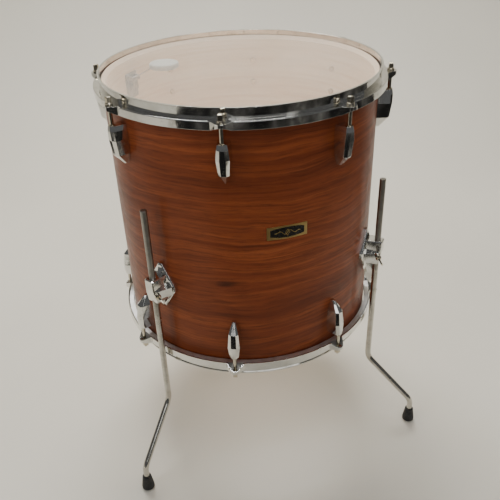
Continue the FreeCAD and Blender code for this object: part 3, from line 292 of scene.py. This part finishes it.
def rod_chrome():
    """Plated rod: dull and scraped above its bracket, where it has slid, brighter below."""
    paint = Paint("rod_chrome", Metallic=1.0)
    height = paint.coordinates()[2]
    cloud = paint.noise(paint.place, scale=60.0, detail=6.0, roughness=0.65)
    scrape = paint.noise(paint.stretched((700.0, 700.0, 45.0)), detail=4.0, roughness=0.7)
    slid = paint.spread(height, SLID_FROM, SLID_TO)
    dirt = paint.spread(cloud, 0.45, 0.75)
    bright = paint.mix(dirt, (0.58, 0.56, 0.51), (0.38, 0.36, 0.31))
    dull = paint.mix(dirt, (0.36, 0.345, 0.315), (0.26, 0.245, 0.215))
    paint.set("Base Color", paint.mix(slid, bright, dull))
    worn = paint.calc("MULTIPLY_ADD", paint.spread(scrape, 0.40, 0.75), 0.14,
                      paint.calc("MULTIPLY_ADD", dirt, 0.12, 0.12))
    paint.set("Roughness", paint.calc("MULTIPLY_ADD", slid, 0.22, worn))
    paint.bump(paint.calc("MULTIPLY_ADD", scrape, 0.5, cloud), 0.00006, 0.35, PLATE_ROUNDING)
    return paint.material


def brushed(name, colour, dark, smooth, dull, stretch):
    """Dull drawn metal with lines along its drawing direction."""
    paint = Paint(name, Metallic=1.0)
    lines = paint.noise(paint.stretched(stretch), detail=4.0, roughness=0.65)
    cloud = paint.noise(paint.place, scale=70.0, detail=5.0)
    paint.set("Base Color", paint.mix(paint.spread(cloud, 0.40, 0.75), colour, dark))
    paint.set("Roughness", paint.spread(lines, 0.3, 0.7, smooth, dull))
    paint.bump(lines, 0.00008, 0.3)
    return paint.material


def clear_film():
    """Clear polyester film, slightly hazy, with faint marks from playing."""
    paint = Paint("clear_film", IOR=1.6)
    haze = paint.noise(paint.place, scale=9.0, detail=5.0, roughness=0.6)
    marks = paint.noise(paint.stretched((180.0, 420.0, 180.0)), detail=5.0, roughness=0.75)
    paint.set("Base Color", paint.ramp(
        haze, (0.35, (0.90, 0.83, 0.73)), (0.65, (0.95, 0.89, 0.80))))
    glance = paint.add("ShaderNodeLayerWeight")
    glance.inputs["Blend"].default_value = 0.5
    veil = paint.spread(haze, 0.30, 0.70, 0.06, 0.11)
    veil = paint.calc("MULTIPLY_ADD", paint.spread(marks, 0.56, 0.72), 0.10, veil)
    steep = paint.calc("POWER", glance.outputs["Facing"], 4.0)
    paint.set("Alpha", paint.calc("MULTIPLY_ADD", steep, 0.25, veil))
    paint.set("Roughness", paint.spread(haze, 0.3, 0.7, 0.07, 0.16))
    paint.bump(haze, 0.0004, 0.15)
    return paint.material


def rubber():
    paint = Paint("foot_rubber", Specular_IOR_Level=0.35)
    grain = paint.noise(paint.place, scale=1400.0, detail=3.0)
    dust = paint.noise(paint.place, scale=160.0, detail=5.0, roughness=0.7)
    paint.set("Base Color", paint.ramp(
        dust, (0.40, (0.012, 0.012, 0.012)), (0.75, (0.050, 0.048, 0.045))))
    paint.set("Roughness", paint.spread(dust, 0.3, 0.8, 0.48, 0.80))
    paint.bump(grain, 0.0001, 0.4)
    return paint.material


def felt():
    """Pressed wool felt: short tangled fibres, faint lumps and greyed patches."""
    paint = Paint("felt", Sheen_Weight=0.35, Sheen_Roughness=0.5, Specular_IOR_Level=0.1)
    fibres = paint.noise(paint.place, scale=2600.0, detail=4.0, roughness=0.8, distortion=1.5)
    lumps = paint.noise(paint.place, scale=220.0, detail=4.0, roughness=0.6)
    grey = paint.mix(paint.spread(lumps, 0.35, 0.65), (0.36, 0.37, 0.34), (0.47, 0.48, 0.44))
    fleck = paint.spread(fibres, 0.60, 0.78, 0.0, 0.55)
    paint.set("Base Color", paint.mix(fleck, grey, (0.30, 0.28, 0.25)))
    paint.set("Roughness", paint.spread(fibres, 0.3, 0.7, 0.85, 1.0))
    paint.bump(paint.calc("MULTIPLY_ADD", fibres, 0.4, lumps), 0.0006, 0.6)
    return paint.material


def enamel():
    paint = Paint("badge_enamel", Coat_Weight=0.2, Coat_Roughness=0.15)
    cloud = paint.noise(paint.place, scale=300.0, detail=5.0, roughness=0.7)
    paint.set("Base Color", paint.ramp(
        cloud, (0.40, (0.007, 0.007, 0.006)), (0.80, (0.024, 0.021, 0.017))))
    paint.set("Roughness", paint.spread(cloud, 0.3, 0.8, 0.18, 0.40))
    return paint.material


MATERIALS = {
    "shell_wood": shell_wood(),
    "chrome": plated("chrome", (0.77, 0.765, 0.735), (0.56, 0.55, 0.50), 0.045, 0.30),
    "rod_chrome": rod_chrome(),
    "aged_nickel": plated("aged_nickel", (0.66, 0.61, 0.50), (0.46, 0.39, 0.26), 0.12, 0.38, 0.4),
    "clear_film": clear_film(),
    "ring_aluminium": brushed("ring_aluminium", (0.84, 0.84, 0.83), (0.66, 0.66, 0.65),
                              0.42, 0.60, (40.0, 40.0, 1800.0)),
    "spring_steel": brushed("spring_steel", (0.45, 0.44, 0.42), (0.30, 0.28, 0.25),
                            0.28, 0.50, (300.0, 300.0, 900.0)),
    "badge_enamel": enamel(),
    "foot_rubber": rubber(),
    "felt": felt(),
    "badge_gold": plated("badge_gold", (0.68, 0.50, 0.21), (0.50, 0.36, 0.14), 0.36, 0.58,
                         rounding=0.0),
}


def dress(piece, material):
    """Give every material slot of a piece this material."""
    if not piece.material_slots:
        piece.data.materials.append(material)
    for entry in piece.material_slots:
        entry.material = material


def dress_frame():
    for part in frame["record"]["subparts"]:
        dress(frame["nodes"][part["node"]], MATERIALS[part["material_slot"]])
    dress(frame["nodes"]["badge"], MATERIALS["badge_gold"])


# Pieces.

SHARP_ANGLE = math.radians(38.0)


def bridge(mesh, near, far):
    """Faces between two closed rows of vertices; a row of one vertex is a pole."""
    count = max(len(near), len(far))
    for spot in range(count):
        after = (spot + 1) % count
        corners = [near[spot % len(near)], near[after % len(near)],
                   far[after % len(far)], far[spot % len(far)]]
        mesh.faces.new(list(dict.fromkeys(corners)))


def to_object(name, mesh, material):
    """Turn a bmesh into a smooth-shaded object of one material."""
    data = bpy.data.meshes.new(name)
    mesh.to_mesh(data)
    mesh.free()
    made = bpy.data.objects.new(name, data)
    bpy.context.scene.collection.objects.link(made)
    for face in data.polygons:
        face.use_smooth = True
    dress(made, material)
    return made


def to_piece(name, mesh, material, body):
    """Turn a bmesh into a piece of the drum that rides on a body."""
    bmesh.ops.recalc_face_normals(mesh, faces=mesh.faces)
    piece = to_object(name, mesh, material)
    piece.data.set_sharp_from_angle(angle=SHARP_ANGLE)
    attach(piece, body)
    return piece


PAD_RINGS = 14
PAD_SPOKES = 64
PAD_EDGE = 0.0026          # radius of the pad's rounded rim
PAD_RIM = 4                # steps in each quarter of the rim
PAD_SINK = 0.00035         # depth of the hollows in the felt
PAD_DENT = 0.012           # share of its radius by which the rim is uneven


def pad_profile(radius, half):
    """Half section of the pad, from the middle of its top face to the middle of its underside."""
    flat = radius - PAD_EDGE
    profile = [(flat * step / PAD_RINGS, half) for step in range(PAD_RINGS + 1)]
    for step in range(1, 2 * PAD_RIM):
        angle = math.pi / 2 * (1 - step / PAD_RIM)
        side = 1 if step < PAD_RIM else 0 if step == PAD_RIM else -1
        profile.append((flat + PAD_EDGE * math.cos(angle),
                        (half - PAD_EDGE) * side + PAD_EDGE * math.sin(angle)))
    profile += [(flat * step / PAD_RINGS, -half) for step in range(PAD_RINGS, -1, -1)]
    return profile


def make_felt_pad():
    """Disc of pressed felt with a soft rounded rim and slightly uneven faces."""
    low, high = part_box("muffler_pad")
    centre = (low + high) / 2
    radius = (high.x - low.x) / 2
    mesh = bmesh.new()
    rows = []
    for out, up in pad_profile(radius, (high.z - low.z) / 2):
        angles = [math.tau * spoke / PAD_SPOKES for spoke in range(PAD_SPOKES if out else 1)]
        rows.append([mesh.verts.new((out * math.cos(angle), out * math.sin(angle), up))
                     for angle in angles])
    for near, far in zip(rows, rows[1:]):
        bridge(mesh, near, far)
    for vert in mesh.verts:
        lump = noise.noise(vert.co * 170.0) * 0.5 + noise.noise(vert.co * 520.0) * 0.3
        edge = vert.co.xy.length / radius
        sink = PAD_SINK * (1.0 - lump) * (0.5 + edge * edge)
        vert.co.z -= math.copysign(sink, vert.co.z)
        if edge > 0.5:
            vert.co.xy *= 1.0 - PAD_DENT * (0.5 + 0.5 * lump) * edge
        vert.co += centre
    pad = to_piece("felt_pad", mesh, MATERIALS["felt"], "muffler_arm")
    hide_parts("muffler_pad")


# Badge: a black field and raised gold lines on the gold plate. Places on it are given as
# (across, up) from its middle and wrapped on the shell.

BADGE_FRAME = 0.0021
BADGE_END_FRAME = 0.0048
BADGE_END_SHARE = 0.70     # height of the barrel's ends, frame included, over its middle
BADGE_COLUMNS = 48
BADGE_ROWS = 12
FIELD_SUNK, FIELD_PROUD = -0.0002, 0.0002


def badge_shape():
    """Height above the floor of the badge's middle, its half width and its half height."""
    low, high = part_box("badge")
    radius = SHELL_RADIUS + BADGE_PLATE
    half_width = radius * math.asin((high.x - low.x) / 2 / radius)
    return (low.z + high.z) / 2, half_width, (high.z - low.z) / 2


def on_badge(across, up, proud, middle):
    radius = SHELL_RADIUS + BADGE_PLATE + proud
    angle = -math.pi / 2 + across / SHELL_RADIUS
    return Vector((AXIS.x + radius * math.cos(angle), AXIS.y + radius * math.sin(angle),
                   middle + up))


def make_badge_field():
    """Thin black enamel panel inside the badge's gold frame."""
    middle, half_width, tall = badge_shape()
    width = half_width - BADGE_END_FRAME
    curve = tall * (1 - BADGE_END_SHARE)
    mesh = bmesh.new()
    layers = []
    for proud in (FIELD_SUNK, FIELD_PROUD):
        grid = []
        for column in range(BADGE_COLUMNS + 1):
            share = 2 * column / BADGE_COLUMNS - 1
            reach = tall - curve * share ** 2 - BADGE_FRAME
            grid.append([mesh.verts.new(on_badge(width * share, reach * (2 * row / BADGE_ROWS - 1),
                                                 proud, middle))
                         for row in range(BADGE_ROWS + 1)])
        layers.append(grid)
    for grid in layers:
        for near, far in zip(grid, grid[1:]):
            for row in range(BADGE_ROWS):
                mesh.faces.new((near[row], far[row], far[row + 1], near[row + 1]))
    back, front = layers
    for column in range(BADGE_COLUMNS):
        for row in (0, BADGE_ROWS):
            mesh.faces.new((back[column][row], back[column + 1][row],
                            front[column + 1][row], front[column][row]))
    for row in range(BADGE_ROWS):
        for column in (0, BADGE_COLUMNS):
            mesh.faces.new((back[column][row], back[column][row + 1],
                            front[column][row + 1], front[column][row]))
    to_piece("badge_field", mesh, MATERIALS["badge_enamel"], "drum")


WIRE_SIDES = 8
WIRE_FLATNESS = 0.6


def add_wire(mesh, places, radius, closed=False):
    """Half-sunk wire of flattened round section through places, closed at its ends."""
    count = len(places)
    rings = []
    for index, place in enumerate(places):
        before = places[index - 1] if index or closed else place
        after = places[(index + 1) % count] if index + 1 < count or closed else place
        along = (after - before).normalized()
        outward = Vector((place.x - AXIS.x, place.y - AXIS.y, 0)).normalized()
        sideways = along.cross(outward).normalized()
        ring = []
        for side in range(WIRE_SIDES):
            angle = math.tau * side / WIRE_SIDES
            offset = math.cos(angle) * sideways + WIRE_FLATNESS * math.sin(angle) * outward
            ring.append(mesh.verts.new(place + radius * offset))
        rings.append(ring)
    pairs = list(zip(rings, rings[1:]))
    if closed:
        pairs.append((rings[-1], rings[0]))
    for near, far in pairs:
        bridge(mesh, near, far)
    if not closed:
        mesh.faces.new(rings[0])
        mesh.faces.new(rings[-1][::-1])


WAVE_STEPS = 60            # on each side of the middle
WAVE_MARGIN = 0.0105
WAVE_RISE = 0.0030
WAVE_TURNS = 2.5           # half turns on each side of the middle
WAVE_WIRE = 0.00050
LOZENGE_ACROSS, LOZENGE_UP = 0.0030, 0.0048
LOZENGE_WIRE = 0.00045
ORNAMENT_PROUD = 0.0003


def make_badge_ornament():
    """Generic ornament: one long wave that thins out to both sides, and a small lozenge on it."""
    middle, half_width, _ = badge_shape()
    mesh = bmesh.new()
    wave = []
    for step in range(-WAVE_STEPS, WAVE_STEPS + 1):
        share = step / WAVE_STEPS
        rise = WAVE_RISE * math.sin(share * WAVE_TURNS * math.pi) * (1 - share * share)
        wave.append(on_badge((half_width - WAVE_MARGIN) * share, rise, ORNAMENT_PROUD, middle))
    add_wire(mesh, wave, WAVE_WIRE)
    corners = ((LOZENGE_ACROSS, 0), (0, LOZENGE_UP), (-LOZENGE_ACROSS, 0), (0, -LOZENGE_UP))
    lozenge = [on_badge(across, up, ORNAMENT_PROUD, middle) for across, up in corners]
    add_wire(mesh, lozenge, LOZENGE_WIRE, closed=True)
    to_piece("badge_ornament", mesh, MATERIALS["badge_gold"], "drum")


# Floor, backdrop, room, dark cards and lights.

STAGE_HALF_WIDTH = 4.0
STAGE_FRONT = -3.2
STAGE_BACK = 1.5
STAGE_BEND = 0.8
STAGE_TOP = 3.2
BEND_STEPS = 16

ROOM_RADIUS = 3.9
ROOM_BEND = 1.0
ROOM_HEIGHT = 4.5
ROOM_FLOOR = -0.002        # under the stage's floor
ROOM_SPOKES = 96
ROOM_PAINTED_GLOW = 0.30

CARD_HEIGHT = 0.004
# Corners of each card, to the right of the origin and behind it as the camera stands.
CARDS = (
    ((-1.7, -3.1), (3.0, -3.1), (3.0, 1.2), (1.15, 1.2), (0.95, -0.30), (0.60, -0.66),
     (-0.30, -0.72), (-0.55, -1.10), (-1.5, -1.35)),
    ((-1.40, -1.2), (-1.20, -1.2), (-1.00, 0.6), (-1.10, 0.6)),
    ((-0.75, -0.42), (-0.75, -0.58), (-0.42, -0.56), (-0.45, -0.40)),
)


def stage_paint():
    paint = Paint("stage", Specular_IOR_Level=0.3)
    cloud = paint.noise(paint.place, scale=1.3, detail=4.0)
    paint.set("Base Color", paint.ramp(
        cloud, (0.3, (0.585, 0.555, 0.475)), (0.7, (0.625, 0.595, 0.515))))
    paint.set("Roughness", paint.spread(cloud, 0.3, 0.7, 0.50, 0.62))
    return paint


def bent_path(foot, bend, floor, top):
    """From the floor's end up a quarter round to a wall, as (out, up)."""
    path = [(foot, floor)]
    for step in range(1, BEND_STEPS + 1):
        angle = math.pi / 2 * step / BEND_STEPS
        path.append((foot + bend * math.sin(angle), bend - bend * math.cos(angle)))
    path.append((foot + bend, top))
    return path


def make_stage():
    """Pale floor that curves up into a backdrop behind the drum."""
    path = [(STAGE_FRONT, 0.0)]
    path += bent_path(STAGE_BACK - STAGE_BEND, STAGE_BEND, 0.0, STAGE_TOP)
    mesh = bmesh.new()
    rows = [[mesh.verts.new((side * STAGE_HALF_WIDTH, y, z)) for side in (-1, 1)]
            for y, z in path]
    for near, far in zip(rows, rows[1:]):
        mesh.faces.new((near[0], near[1], far[1], far[0]))
    stage = to_object("stage", mesh, stage_paint().material)
    stage.rotation_euler = (0, 0, math.radians(CAMERA_YAW))


def make_room():
    """Round wall of the same pale colour for the other views; it lights nothing, and glows with
    painted light.
    """
    foot = ROOM_RADIUS - ROOM_BEND
    paint = stage_paint()
    radius = paint.radius_and_height()[0]
    # Painted light: the wall glows in place of lamp light falling on it. The glow is nothing at
    # the foot of its bend and reaches full strength at the wall.
    paint.shader.inputs["Emission Color"].default_value = (0.66, 0.64, 0.60, 1.0)
    paint.set("Emission Strength", paint.spread(radius, foot, ROOM_RADIUS, 0.0, ROOM_PAINTED_GLOW))
    mesh = bmesh.new()
    rows = []
    for out, up in bent_path(foot, ROOM_BEND, ROOM_FLOOR, ROOM_HEIGHT):
        angles = [math.tau * spoke / ROOM_SPOKES for spoke in range(ROOM_SPOKES)]
        rows.append([mesh.verts.new((AXIS.x + out * math.cos(angle),
                                     AXIS.y + out * math.sin(angle), up))
                     for angle in angles])
    for near, far in zip(rows, rows[1:]):
        bridge(mesh, near, far)
    room = to_object("room", mesh, paint.material)
    room.visible_diffuse = False
    room.visible_glossy = False
    room.visible_transmission = False
    room.visible_shadow = False


def make_flag():
    """Dark cards just above the floor, seen only in the drum's polished metal."""
    paint = Paint("flag", Roughness=0.9, Specular_IOR_Level=0.0)
    cloud = paint.noise(paint.place, scale=1.7, detail=3.0)
    paint.set("Base Color", paint.ramp(
        cloud, (0.42, (0.010, 0.010, 0.010)), (0.54, (0.035, 0.034, 0.032)),
        (0.70, (0.16, 0.155, 0.145))))
    mesh = bmesh.new()
    for card in CARDS:
        mesh.faces.new([mesh.verts.new((right, behind, CARD_HEIGHT)) for right, behind in card])
    flag = to_object("flag", mesh, paint.material)
    flag.rotation_euler = (0, 0, math.radians(CAMERA_YAW))
    flag.visible_camera = False
    flag.visible_diffuse = False
    flag.visible_shadow = False
    flag.visible_transmission = False


WORLD_COLOUR = (0.80, 0.81, 0.83, 1.0)
WORLD_STRENGTH = 0.13
DRUM_MIDDLE = (0.0, -0.05, 0.4)

TUBES = (("near_tube", -0.7), ("middle_tube", 0.2), ("far_tube", 1.1))
TUBE_HEIGHT = 2.5
TUBE_SIZE = (1.3, 0.06)
TUBE_POWER = 5.0


def add_light(name, place, aim, size, power, colour=(1.0, 1.0, 1.0), in_metal=True):
    """Rectangular lamp; in_metal says whether reflections show it."""
    data = bpy.data.lights.new(name, "AREA")
    data.shape = "RECTANGLE"
    data.size, data.size_y = size
    data.energy = power
    data.color = colour
    light = bpy.data.objects.new(name, data)
    bpy.context.scene.collection.objects.link(light)
    light.location = place
    way = Vector(aim) - Vector(place)
    light.rotation_euler = way.to_track_quat("-Z", "Y").to_euler()
    light.visible_glossy = in_metal


def make_lights():
    world = bpy.data.worlds.new("world")
    bpy.context.scene.world = world
    world.use_nodes = True
    background = world.node_tree.nodes["Background"]
    background.inputs["Color"].default_value = WORLD_COLOUR
    background.inputs["Strength"].default_value = WORLD_STRENGTH
    add_light("ceiling", (0.1, 1.10, 2.6), DRUM_MIDDLE, (1.5, 1.1), 94.0, (1.0, 0.98, 0.95))
    add_light("front_ceiling", (0.0, -3.0, 2.4), (0.0, -0.8, 0.3), (3.0, 1.4), 22.0)
    add_light("window", (-2.4, -0.9, 1.5), DRUM_MIDDLE, (1.4, 1.8), 22.0, (0.97, 0.98, 1.0),
              in_metal=False)
    add_light("right_fill", (2.3, -1.0, 1.3), DRUM_MIDDLE, (0.8, 1.4), 13.0, in_metal=False)
    for name, y in TUBES:
        add_light(name, (0.0, y, TUBE_HEIGHT), (0.0, y, 0.0), TUBE_SIZE, TUBE_POWER)


make_camera()
dress_frame()
make_felt_pad()
make_badge_field()
make_badge_ornament()
make_stage()
make_room()
make_flag()
make_lights()
